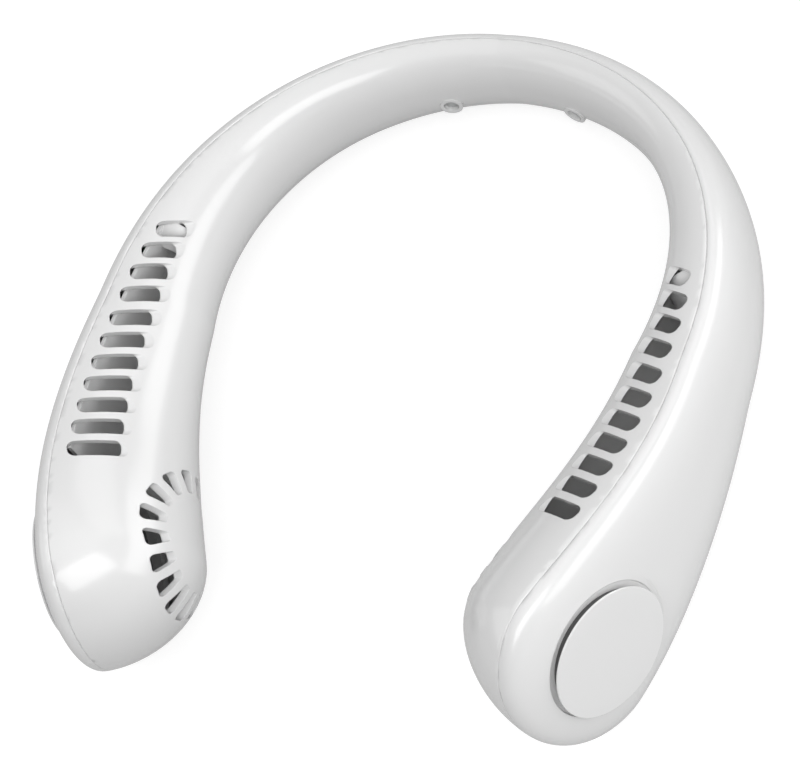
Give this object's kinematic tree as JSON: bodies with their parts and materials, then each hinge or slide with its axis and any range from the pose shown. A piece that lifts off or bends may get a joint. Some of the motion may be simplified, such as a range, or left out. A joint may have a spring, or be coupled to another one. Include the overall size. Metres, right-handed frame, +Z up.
{
  "type": "electric neck fan",
  "caption": "Bladeless neck fan: a glossy white U-shaped band whose round heads draw air in through a grille and blow it out of slots along the arms.",
  "frame": {"origin": "table level, in the middle of the fan's bounding box in plan, with the fan lying on its heads and the back of its band", "axes": "+Z up, -Y out of the open mouth of the U, +Y to the back of the neck, +X to the head seen on the right when looking along +Y from the mouth"},
  "size_m": [0.186, 0.1952, 0.0602],
  "materials": {
    "white_shell": "glossy white moulded ABS",
    "button_grey": "satin grey plastic",
    "fan_plastic": "satin moulded plastic",
    "duct_plastic": "dark moulded plastic",
    "steel": "pressed steel",
    "bearing_steel": "polished steel",
    "screw_steel": "zinc-plated steel",
    "magnet": "black bonded magnet and switch plastic",
    "copper": "enamelled copper wire",
    "cell_wrap": "blue film round a pouch cell",
    "foam": "soft grey foam",
    "board": "green solder mask",
    "lamp": "clear epoxy lamp",
    "clear_plastic": "clear moulded light pipe",
    "red_lead": "red insulated wire",
    "black_lead": "black insulated wire"
  },
  "bodies": {
    "root": {"inner_shell": "white_shell", "outer_shell": "white_shell", "cap_right": "white_shell", "cap_left": "white_shell", "bearings_right": "bearing_steel", "bearings_left": "bearing_steel", "stator_core_right": "steel", "stator_core_left": "steel", "stator_coils_right": "copper", "stator_coils_left": "copper", "motor_mount_right": "steel", "motor_mount_left": "steel", "motor_screws_right": "screw_steel", "motor_screws_left": "screw_steel", "scroll_right": "duct_plastic", "scroll_left": "duct_plastic", "inlet_ring_right": "duct_plastic", "inlet_ring_left": "duct_plastic", "rear_cell_right": "cell_wrap", "rear_cell_left": "cell_wrap", "front_cell_right": "cell_wrap", "front_cell_left": "cell_wrap", "cell_foam_right": "foam", "cell_foam_left": "foam", "duct_wall_right": "white_shell", "duct_wall_left": "white_shell", "control_board": "board", "board_screws": "screw_steel", "usb_c_port": "bearing_steel", "tact_switch": "magnet", "indicator_leds": "lamp", "light_pipe": "clear_plastic", "shell_screws": "screw_steel", "motor_lead_right": "red_lead", "motor_lead_left": "red_lead", "battery_lead": "black_lead"},
    "fan_right": {"impeller_right": "fan_plastic", "rotor_cup_right": "steel", "magnet_ring_right": "magnet", "fan_shaft_right": "steel"},
    "fan_left": {"impeller_left": "fan_plastic", "rotor_cup_left": "steel", "magnet_ring_left": "magnet", "fan_shaft_left": "steel"},
    "button": {"power_button": "button_grey", "switch_plunger": "duct_plastic"}
  },
  "joints": [
    {"name": "fan_spin_right", "type": "hinge", "parent": "root", "child": "fan_right", "pos_m": [0.07376, -0.07113, 0.03044], "axis": [0.9147, -0.3807, 0.1357], "continuous": true},
    {"name": "fan_spin_left", "type": "hinge", "parent": "root", "child": "fan_left", "pos_m": [-0.07376, -0.07113, 0.03044], "axis": [-0.9147, -0.3807, 0.1357], "continuous": true},
    {"name": "button_press", "type": "slide", "parent": "root", "child": "button", "axis": [0.9979, -0.0459, -0.0446], "range_m": [0, 0.0004], "stiffness_N_per_m": 400}
  ]
}
